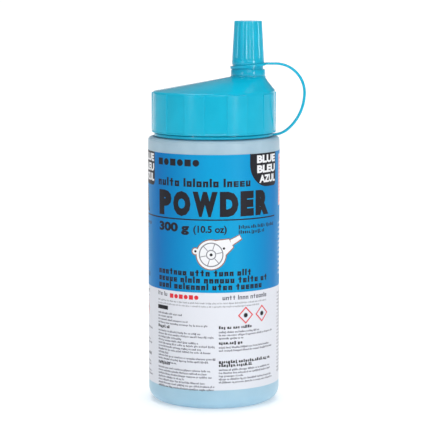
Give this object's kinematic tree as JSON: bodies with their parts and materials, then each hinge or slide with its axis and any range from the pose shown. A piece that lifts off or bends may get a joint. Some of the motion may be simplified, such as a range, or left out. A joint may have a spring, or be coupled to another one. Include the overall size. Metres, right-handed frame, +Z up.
{
  "type": "chalk powder squeeze bottle",
  "caption": "Round squeeze bottle of marking chalk powder with a screw cap, an offset pouring spout and a fluted tip cap on a tether strap.",
  "frame": {"origin": "centre of the standing ring, on the plane the bottle stands on", "axes": "+Z up the bottle's axis, +X towards the spout and the strap, -Y the front of the label"},
  "size_m": [0.0791, 0.0662, 0.1911],
  "materials": {
    "bottle": "translucent natural polyethylene, tinted by the chalk behind it",
    "chalk": "fine matt powder",
    "label": "satin printed film",
    "gasket": "closed-cell foam",
    "cap": "satin moulded polyethylene"
  },
  "bodies": {
    "bottle": {"bottle": "bottle", "chalk_powder": "chalk", "wrap_label": "label"},
    "gasket": {"cap_gasket": "gasket"},
    "cap": {"spout_cap": "cap", "tether_neck_ring": "cap", "tether_strap": "cap"},
    "tip_ring": {"tether_tip_ring": "cap"},
    "tip_cap": {"tip_cap": "cap"}
  },
  "joints": [
    {"name": "cap_lift", "type": "slide", "parent": "bottle", "child": "gasket", "axis": [0, 0, 1], "range_m": [0, 0.016]},
    {"name": "cap_twist", "type": "hinge", "parent": "gasket", "child": "cap", "pos_m": [0, 0, 0.1448], "axis": [0, 0, 1], "range_deg": [0, 1440]},
    {"name": "tip_lift", "type": "slide", "parent": "cap", "child": "tip_ring", "axis": [0, 0, 1], "range_m": [0, 0.018], "deforming": ["tether_strap"]},
    {"name": "tip_twist", "type": "hinge", "parent": "tip_ring", "child": "tip_cap", "pos_m": [0.0171, 0, 0.1711], "axis": [0, 0, 1], "range_deg": [0, 1080]}
  ],
  "couplings": [
    {"joint": "cap_twist", "follows": "cap_lift", "rad_per_m": 1570.8},
    {"joint": "tip_twist", "follows": "tip_lift", "rad_per_m": 1047.2}
  ]
}
